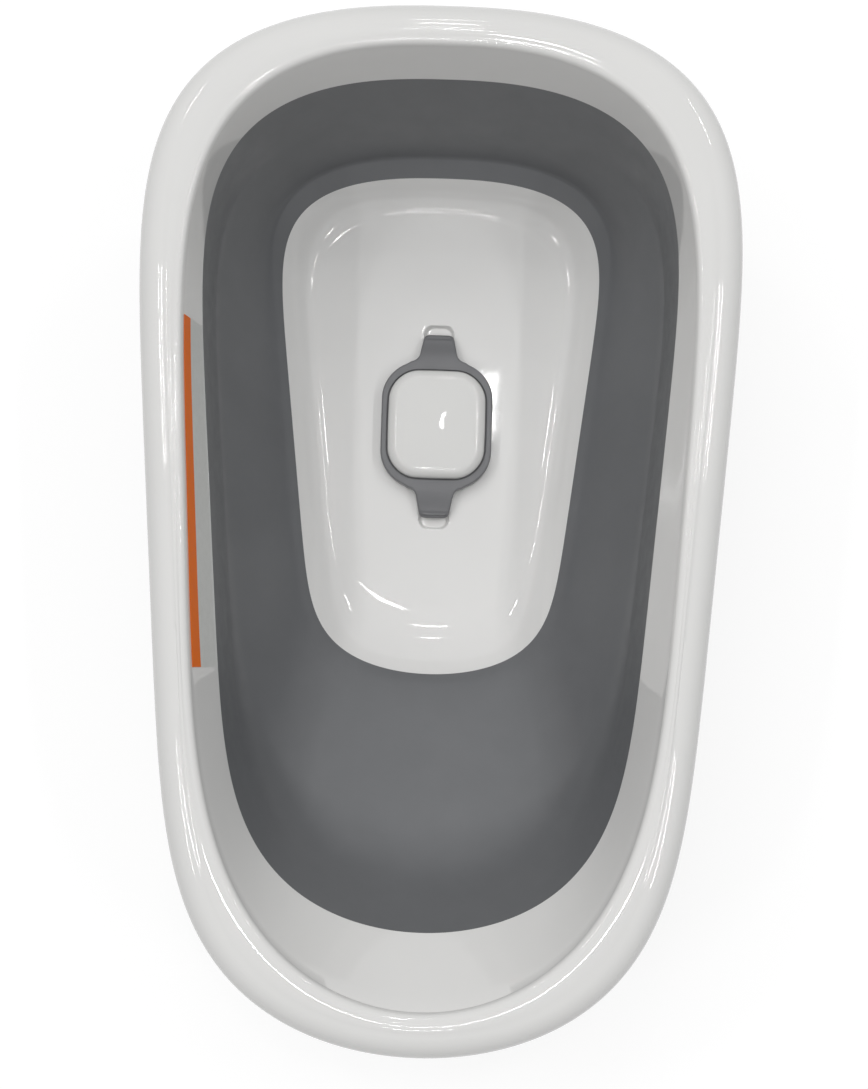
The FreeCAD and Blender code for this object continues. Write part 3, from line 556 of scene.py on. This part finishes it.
def recess_depth(points):
    """How deep the finger recesses are at each point of the floor."""
    x = np.abs(points[:, 0])
    y = np.abs(points[:, 1] - PLUG_Y) - (RECESS_START + RECESS_END) / 2
    beyond_x = x - RECESS_WIDTH / 2 + RECESS_CORNER
    beyond_y = np.abs(y) - (RECESS_END - RECESS_START) / 2 + RECESS_CORNER
    outside = np.hypot(np.clip(beyond_x, 0, None), np.clip(beyond_y, 0, None))
    inside = np.minimum(np.maximum(beyond_x, beyond_y), 0)
    distance = outside + inside - RECESS_CORNER
    return RECESS_DEPTH * smooth(-distance / RECESS_WALL)


def build_pan():
    hole = rounded(*DRAIN)
    collar = rounded(DRAIN[0] + 2 * DRAIN_WALL, DRAIN[1] + 2 * DRAIN_WALL, DRAIN[2] + DRAIN_WALL)
    near = rounded(*(size + margin for size, margin in zip(DRAIN, FINE_MARGIN)))
    floor_rings = []
    for share in np.linspace(0, 1, FINE_RINGS):
        floor_rings.append(between(collar, near, share))
    for share in np.linspace(0, 1, COARSE_RINGS)[1:]:
        floor_rings.append(between(near, floor_outline, share))
    top = [ring(points, FLOOR_HEIGHT - recess_depth(points)) for points in floor_rings]
    under = [ring(points, FLOOR_HEIGHT - RIGID - recess_depth(points)) for points in floor_rings]
    dish = []
    dish_under = []
    for share in np.linspace(0, 1, DISH_STEPS + 1)[1:]:
        points = between(floor_outline, pan_outline, share)
        height = FLOOR_HEIGHT + (PAN_HEIGHT - FLOOR_HEIGHT) * share ** 2
        dish.append(ring(points, height))
        if share < DISH_UNDER_SHARE:
            dish_under.append(ring(points, height - RIGID))
    edge = grown(pan_outline, RIGID)
    foot = grown(edge, -PLINTH_DRAFT)
    skirt = [
        ring(edge, PAN_HEIGHT),
        ring(edge, PAN_HEIGHT - COLLAR_LAP),
        ring(foot, PLINTH_FOOT + EDGE_ROUND),
        ring(grown(foot, -EDGE_ROUND), PLINTH_FOOT),
        ring(grown(foot, EDGE_ROUND - RIGID), PLINTH_FOOT),
        ring(grown(foot, -RIGID), PLINTH_FOOT + EDGE_ROUND),
        ring(grown(edge, -RIGID), dish_under[-1][0, 2] + EDGE_ROUND),
    ]
    spout = [ring(collar, FLOOR_HEIGHT - DRAIN_SPOUT), ring(hole, FLOOR_HEIGHT - DRAIN_SPOUT)]
    lip_top = FLOOR_HEIGHT + DRAIN_LIP
    lip = [
        ring(hole, lip_top - EDGE_ROUND),
        ring(grown(hole, EDGE_ROUND), lip_top),
        ring(grown(collar, -EDGE_ROUND), lip_top),
        ring(collar, lip_top - EDGE_ROUND),
    ]
    rings = lip + top + dish + skirt + dish_under[::-1] + under[::-1] + spout
    # The pan and its underside details take the lighter white, which is painted light on the basin
    # floor.
    pan = stacked("base_shell", rings, BASE_WHITE_PAINTED_LIGHTER, closed=True)
    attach(pan, "base")
    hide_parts("base_pan")


def under_part(name, rings):
    """A moulded detail under the pan's floor, part of the same white moulding."""
    part = stacked(name, rings, BASE_WHITE_PAINTED_LIGHTER)
    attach(part, "base")
    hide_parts("base_pan")


def build_pad_boss(pad_node):
    """A round boss whose seat holds one foot pad."""
    low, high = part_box(pad_node)
    middle = ((low.x + high.x) / 2, (low.y + high.y) / 2)
    turn = np.linspace(0, 2 * math.pi, CIRCLE_POINTS, endpoint=False)
    pad = np.stack([np.sin(turn), np.cos(turn)], axis=1) * (high.x - low.x) / 2 + middle
    seat = grown(pad, PAD_GAP)
    outside = grown(seat, BOSS_WALL)
    boss_foot = high.z - PAD_SEAT
    under_part(pad_node.replace("foot_pad", "pad_boss"), [
        ring(seat, high.z),
        ring(seat, boss_foot),
        ring(grown(outside, -EDGE_ROUND), boss_foot),
        ring(outside, boss_foot + EDGE_ROUND),
        ring(outside, FLOOR_HEIGHT - RIGID / 2),
    ])


def build_rib(name, x, y, half_wide, half_long):
    """A straight stiffening rib about a middle point."""
    corners = np.array([(1, 1), (1, -1), (-1, -1), (-1, 1)]) * (half_wide, half_long) + (x, y)
    rib_foot = FLOOR_HEIGHT - RIGID - RIB_DEPTH
    under_part(name, [
        ring(grown(corners, -EDGE_ROUND), rib_foot),
        ring(corners, rib_foot + EDGE_ROUND),
        ring(corners, FLOOR_HEIGHT - RIGID / 2),
    ])


def build_underside():
    """The ribs that join the pads' bosses, and the bosses."""
    pads = {node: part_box(node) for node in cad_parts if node.startswith("foot_pad")}
    middles = [((low + high) / 2).to_2d() for low, high in pads.values()]
    foot_y = max(middle.y for middle in middles)
    head_y = min(middle.y for middle in middles)
    foot_x = max(middle.x for middle in middles if middle.y > 0)
    head_x = max(middle.x for middle in middles if middle.y < 0)
    build_rib("rib_foot", 0, foot_y, foot_x, RIB_WALL / 2)
    build_rib("rib_head", 0, head_y, head_x, RIB_WALL / 2)
    for side_name, side in (("right", 1), ("left", -1)):
        x = side * RIB_SIDE_PLACE
        build_rib(f"rib_{side_name}", x, (foot_y + head_y) / 2, RIB_WALL / 2, (foot_y - head_y) / 2)
    for node in pads:
        build_pad_boss(node)


build_pan()
build_underside()

# ---------------------------------------------------------------------------------------------
# Plug: a grey seal with two finger tabs and a glossy white cap
# ---------------------------------------------------------------------------------------------

CAP_LOW, CAP_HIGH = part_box("plug_cap")
CAP = (88 * MM, 98 * MM, 26 * MM)
CAP_ROUND = 10 * MM
CAP_CROWN = 2.2 * MM
CAP_GAP = 1.0 * MM
SEAL = (101 * MM, 115 * MM, 32 * MM)
SEAL_ROUND = 1.8 * MM
OUTLINE_SMOOTHING = 3  # passes
SKIRT_INSET = 5 * MM
TAB_HALF = 14 * MM
TAB_SPREAD = 2.5 * MM
TAB_REACH = 84 * MM
TAB_FLARE = 9 * MM
TAB_CORNER = 5 * MM
TAB_THICKNESS = 3 * MM
TAB_DROP = 6 * MM
TAB_HOOK = 4 * MM
TAB_CREASE = 0.9 * MM
TAB_CREASE_WIDTH = 1.1 * MM
SEAL_RINGS = 40
SEAL_TOP = 15 * MM
SEAL_CEILING = 8 * MM
SEAL_SKIRT_STEPS = 5
SEAL_ROUND_STEPS = 6
GROOVE_FLARE = 0.6 * MM  # the ring's inner edge, where it meets the cap, is cut back by this
GROOVE_TOP = 14.6 * MM
GROOVE_FOOT = 14 * MM
CAP_SEAT_GAP = 0.2 * MM
TAB_BEND = 0.9  # the share of a smooth bend that a tab runs through
HOOK_POWER = 1.5
TAB_THINS_OVER = 5 * MM
TAB_THINS_BEFORE = 1 * MM
TAB_POINTS = 12
CAP_STEPS = 16
CAP_MIDDLE = 0.03  # the size of the small facet at the dome's middle, as a share


def build_cap():
    edge = rounded(*CAP, PLUG_BULGE)
    rows = [ring(edge, CAP_LOW.z), ring(edge, CAP_HIGH.z - CAP_CROWN - CAP_ROUND)]
    for sine, cosine in quarter(CAP_STEPS)[1:]:
        inset = -CAP_ROUND * (1 - cosine)
        rows.append(ring(grown(edge, inset), CAP_HIGH.z - CAP_CROWN - CAP_ROUND * (1 - sine)))
    centre = np.array([0, PLUG_Y])
    roll_end = grown(edge, -CAP_ROUND)
    for share in np.linspace(1, CAP_MIDDLE, CAP_STEPS)[1:]:
        crown = CAP_CROWN * (1 - share ** 2)
        rows.append(ring(centre + (roll_end - centre) * share, CAP_HIGH.z - CAP_CROWN + crown))
    cap = stacked("plug_dome", rows, CAP_WHITE)
    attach(cap, "plug")
    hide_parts("plug_cap")


def seal_outline():
    """The seal's outline, with a tab at its +Y and -Y ends."""
    wide, long, corner = SEAL
    flare_y = long / 2 + TAB_FLARE
    root = TAB_HALF + TAB_SPREAD
    turn = np.linspace(0, math.pi / 2, TAB_POINTS)
    right = [(0, TAB_REACH)]
    right += [
        (TAB_HALF - TAB_CORNER * (1 - math.sin(a)), TAB_REACH - TAB_CORNER * (1 - math.cos(a)))
        for a in turn
    ]
    right += [
        (root + TAB_FLARE * (1 - math.cos(a)), flare_y - TAB_FLARE * math.sin(a)) for a in turn
    ]
    fine = np.linspace(0, math.pi / 2, CORNER_POINTS)
    middle_x = wide / 2 - corner
    middle_y = long / 2 - corner
    body = np.array([(middle_x + corner * math.sin(a), middle_y + corner * math.cos(a)) for a in fine])
    body *= 1 - PLUG_BULGE * (body / (wide / 2, long / 2))[:, ::-1] ** 2
    last_x = right[-1][0]
    right += [tuple(point) for point in body if point[0] > last_x]
    lower = [(x, -y) for x, y in reversed(right)]
    points = mirrored(evenly(np.array(right + lower), AROUND // 2 + 1))
    for _ in range(OUTLINE_SMOOTHING):
        points = (np.roll(points, 1, axis=0) + 2 * points + np.roll(points, -1, axis=0)) / 4
    return points + (0, PLUG_Y)


def seal_top(points):
    """The height of the seal's upper face: level on the ring, then bending down along the tabs."""
    past = np.abs(points[:, 1] - PLUG_Y) - SEAL[1] / 2
    tab = TAB_REACH - TAB_HOOK - SEAL[1] / 2
    drop = TAB_DROP * smooth(past / tab * TAB_BEND) / smooth(TAB_BEND)
    hook = TAB_HOOK * np.clip((past - tab) / TAB_HOOK, 0, 1) ** HOOK_POWER
    crease = TAB_CREASE * np.exp(-((past - tab) / TAB_CREASE_WIDTH) ** 2)
    return FLOOR_HEIGHT + SEAL_TOP - drop - hook - crease


def seal_foot(points):
    """The height of the seal's lower edge: near the floor on the ring, a thin tab beyond it."""
    past = np.abs(points[:, 1] - PLUG_Y) - SEAL[1] / 2
    thin = seal_top(points) - TAB_THICKNESS
    floor = SEAL_LOW.z
    return floor + (thin - floor) * smooth((past + TAB_THINS_BEFORE) / TAB_THINS_OVER)


def build_seal():
    edge = seal_outline()
    inner = rounded(CAP[0] + 2 * CAP_GAP, CAP[1] + 2 * CAP_GAP, CAP[2] + CAP_GAP, PLUG_BULGE)
    skirt = rounded(SEAL[0] - 2 * SKIRT_INSET, SEAL[1] - 2 * SKIRT_INSET, SEAL[2] - SKIRT_INSET)
    foot = grown(edge, -SEAL_ROUND / 2)
    rows = [ring(skirt, SEAL_LOW.z + SEAL_CEILING), ring(skirt, SEAL_LOW.z)]
    for share in np.linspace(0, 1, SEAL_SKIRT_STEPS + 1)[1:]:
        points = between(skirt, foot, share)
        rows.append(ring(points, seal_foot(points)))
    rows.append(ring(edge, seal_foot(edge) + SEAL_ROUND / 2))
    for sine, cosine in quarter(SEAL_ROUND_STEPS):
        points = grown(edge, -SEAL_ROUND * (1 - cosine))
        rows.append(ring(points, seal_top(edge) - SEAL_ROUND * (1 - sine)))
    start = grown(edge, -SEAL_ROUND)
    groove = grown(inner, GROOVE_FLARE)
    for share in np.linspace(0, 1, SEAL_RINGS)[1:-1]:
        points = between(start, groove, share)
        rows.append(ring(points, seal_top(points)))
    rows.append(ring(groove, SEAL_LOW.z + GROOVE_TOP))
    rows.append(ring(inner, SEAL_LOW.z + GROOVE_FOOT))
    rows.append(ring(inner, CAP_LOW.z - CAP_SEAT_GAP))
    seal = stacked("plug_ring", rows, PLUG_GREY)
    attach(seal, "plug")
    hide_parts("plug_seal")


build_cap()
build_seal()

# ---------------------------------------------------------------------------------------------
# Blank two-tone adhesive strip on the left face of the rim's band
# ---------------------------------------------------------------------------------------------

STRIP_LOW, STRIP_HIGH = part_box("label_strip")
STRIP_FOOT_END = STRIP_HIGH.y
STRIP_HEAD_END = STRIP_LOW.y
STRIP_GAP = 0.1 * MM
STRIP_THICKNESS = 0.4 * MM
ORANGE_SHARE = 0.62  # how far up the band the orange field starts
STRIP_ROWS = 13
STRIP_COLUMNS = 60


def band_at(height, places, shift):
    """Points of the band's left face at places along the tub, moved into the basin by shift."""
    points = grown(band(height), -shift)
    left = points[AROUND // 2 + 1:]
    return [(np.interp(y, left[:, 1], left[:, 0]), y, height) for y in places]


def build_strip():
    heights = np.linspace(STRIP_LOW.z, STRIP_HIGH.z, STRIP_ROWS)
    places = np.linspace(STRIP_HEAD_END, STRIP_FOOT_END, STRIP_COLUMNS)
    shifts = (STRIP_GAP + STRIP_THICKNESS, STRIP_GAP)
    grids = [[band_at(height, places, shift) for height in heights] for shift in shifts]
    vertices = np.array(grids).reshape(-1, 3)
    behind = STRIP_ROWS * STRIP_COLUMNS
    faces = []
    tones = []

    def quad(corners, row):
        faces.append(corners)
        tones.append(1 if row / (STRIP_ROWS - 1) < ORANGE_SHARE else 0)

    for row in range(STRIP_ROWS - 1):
        start = row * STRIP_COLUMNS
        for a in range(start, start + STRIP_COLUMNS - 1):
            b = a + STRIP_COLUMNS
            quad((a, b, b + 1, a + 1), row)
            quad((behind + a, behind + a + 1, behind + b + 1, behind + b), row)
        for a, step in ((start, 1), (start + STRIP_COLUMNS - 1, -1)):
            b = a + STRIP_COLUMNS
            quad((a, behind + a, behind + b, b)[::step], row)
    last = (STRIP_ROWS - 1) * STRIP_COLUMNS
    for column in range(STRIP_COLUMNS - 1):
        for a, row, step in ((column, 0, 1), (last + column, STRIP_ROWS - 1, -1)):
            quad((a, a + 1, behind + a + 1, behind + a)[::step], row)
    strip = mesh_object("blank_strip", vertices, faces, ORANGE)
    strip.data.materials.append(PALE)
    strip.data.polygons.foreach_set("material_index", tones)
    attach(strip, "rim")
    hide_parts("label_strip")


build_strip()

# ---------------------------------------------------------------------------------------------
# CAD pieces that stay: plug core, screws and foot pads
# ---------------------------------------------------------------------------------------------


def finish_node(node, material):
    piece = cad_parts[node]
    piece.data.materials.clear()
    piece.data.materials.append(material)


finish_node("plug_core", WHITE)
finish_node("plug_screws", STEEL)
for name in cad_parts:
    if name.startswith("foot_pad"):
        finish_node(name, PAD_GREY)

# ---------------------------------------------------------------------------------------------
# Floor, light and camera
# ---------------------------------------------------------------------------------------------

FLOOR_SIZE = 80
FLOOR_GREY = 0.36
FLOOR_GLOW = 0.74
BACKDROP_GLOW = 0.96
WORLD_STRENGTH = 0.345

KEY_DIRECTION = (-0.25, 0.35, 1.0)
KEY_WIDTH = math.radians(50)
KEY_STRENGTH = 0.60

PANEL_HEIGHT = 3.0
SHORT_PANEL = (0.3, 0.05)
NEAR_PANEL = (0.09, 0.2)
LONG_PANEL = (0.05, 0.6)
SHORT_ROWS = (-1.6, -0.5, 1.7, 2.8)
LONG_ROWS = (-0.8, 0.6, 2.0)
SHORT_GLOW = 160  # watts per square metre
LONG_GLOW = 230
PANEL_COLUMNS = {
    "left": (-1.7, LONG_ROWS, LONG_PANEL, LONG_GLOW),
    "middle": (0.0, SHORT_ROWS, SHORT_PANEL, SHORT_GLOW),
    "near": (0.11, (0.55,), NEAR_PANEL, SHORT_GLOW),
    "right": (1.7, LONG_ROWS, LONG_PANEL, LONG_GLOW),
}

# Where the camera stands over the tub, and how it leans.
CAMERA_PLACE = Vector((0.00105, -0.09213, 1.450))
CAMERA_PITCH = math.radians(3.492)
CAMERA_ROLL = math.radians(1.740)
CAMERA_LENS = 52.02
SENSOR_WIDTH = 36


def seen_directly(tree):
    """1 for what the camera sees, straight or in gloss or glass, and 0 for light that falls."""
    rays = tree.nodes.new("ShaderNodeLightPath")
    seen = rays.outputs["Is Camera Ray"]
    for kind in ("Is Glossy Ray", "Is Transmission Ray"):
        largest = tree.nodes.new("ShaderNodeMath")
        largest.operation = "MAXIMUM"
        tree.links.new(seen, largest.inputs[0])
        tree.links.new(rays.outputs[kind], largest.inputs[1])
        seen = largest.outputs[0]
    return seen


def ranged(tree, share, low, high):
    """A number that is low at a share of 0 and high at 1."""
    node = tree.nodes.new("ShaderNodeMapRange")
    tree.links.new(share, node.inputs["Value"])
    node.inputs["To Min"].default_value = low
    node.inputs["To Max"].default_value = high
    return node.outputs["Result"]


def build_floor():
    """A pale floor that looks white to the camera and still takes the tub's shadow."""
    bpy.ops.mesh.primitive_plane_add(size=FLOOR_SIZE, location=(0, 0, 0))
    floor = bpy.context.object
    floor.name = "studio_floor"
    material = bpy.data.materials.new("studio_floor")
    material.use_nodes = True
    tree = material.node_tree
    tree.nodes.remove(tree.nodes["Principled BSDF"])
    matt = tree.nodes.new("ShaderNodeBsdfDiffuse")
    matt.inputs["Color"].default_value = (FLOOR_GREY, FLOOR_GREY, FLOOR_GREY, 1)
    glow = tree.nodes.new("ShaderNodeEmission")
    tree.links.new(ranged(tree, seen_directly(tree), 0, FLOOR_GLOW), glow.inputs["Strength"])
    both = tree.nodes.new("ShaderNodeAddShader")
    tree.links.new(matt.outputs[0], both.inputs[0])
    tree.links.new(glow.outputs[0], both.inputs[1])
    tree.links.new(both.outputs[0], tree.nodes["Material Output"].inputs["Surface"])
    floor.data.materials.append(material)


def build_world():
    """Even light from all round, in front of a backdrop that looks white."""
    world = bpy.data.worlds.new("studio")
    world.use_nodes = True
    tree = world.node_tree
    background = tree.nodes["Background"]
    background.inputs["Color"].default_value = (1, 1, 1, 1)
    strength = ranged(tree, seen_directly(tree), WORLD_STRENGTH, BACKDROP_GLOW)
    tree.links.new(strength, background.inputs["Strength"])
    bpy.context.scene.world = world


def sun_light(name, direction, width, strength):
    """A broad even light from one side, too soft to be mirrored in gloss."""
    data = bpy.data.lights.new(name, "SUN")
    data.angle = width
    data.energy = strength
    lamp = bpy.data.objects.new(name, data)
    bpy.context.scene.collection.objects.link(lamp)
    lamp.visible_glossy = False
    lamp.rotation_euler = Vector(direction).to_track_quat("Z", "Y").to_euler()


def panel_light(name, place, wide, long, power):
    """A small ceiling panel that faces down and gives the gloss its bright streaks."""
    data = bpy.data.lights.new(name, "AREA")
    data.shape = "RECTANGLE"
    data.size = wide
    data.size_y = long
    data.energy = power
    lamp = bpy.data.objects.new(name, data)
    bpy.context.scene.collection.objects.link(lamp)
    lamp.location = place


def build_camera():
    data = bpy.data.cameras.new("camera")
    data.lens = CAMERA_LENS
    data.sensor_width = SENSOR_WIDTH
    camera = bpy.data.objects.new("camera", data)
    bpy.context.scene.collection.objects.link(camera)
    forward = Vector((0, math.sin(CAMERA_PITCH), -math.cos(CAMERA_PITCH)))
    level_up = Vector((0, math.cos(CAMERA_PITCH), math.sin(CAMERA_PITCH)))
    level_right = Vector((1, 0, 0))
    right = math.cos(CAMERA_ROLL) * level_right + math.sin(CAMERA_ROLL) * level_up
    up = -math.sin(CAMERA_ROLL) * level_right + math.cos(CAMERA_ROLL) * level_up
    axes = Matrix((right, up, -forward)).transposed().to_4x4()
    camera.matrix_world = Matrix.Translation(CAMERA_PLACE) @ axes
    bpy.context.scene.camera = camera


build_floor()
build_world()
sun_light("key", KEY_DIRECTION, KEY_WIDTH, KEY_STRENGTH)
for column, (x, rows, (wide, long), glow) in PANEL_COLUMNS.items():
    for number, y in enumerate(rows):
        panel_light(f"panel_{column}_{number}", (x, y, PANEL_HEIGHT), wide, long, glow * wide * long)
build_camera()
bpy.context.scene.view_settings.view_transform = "Standard"
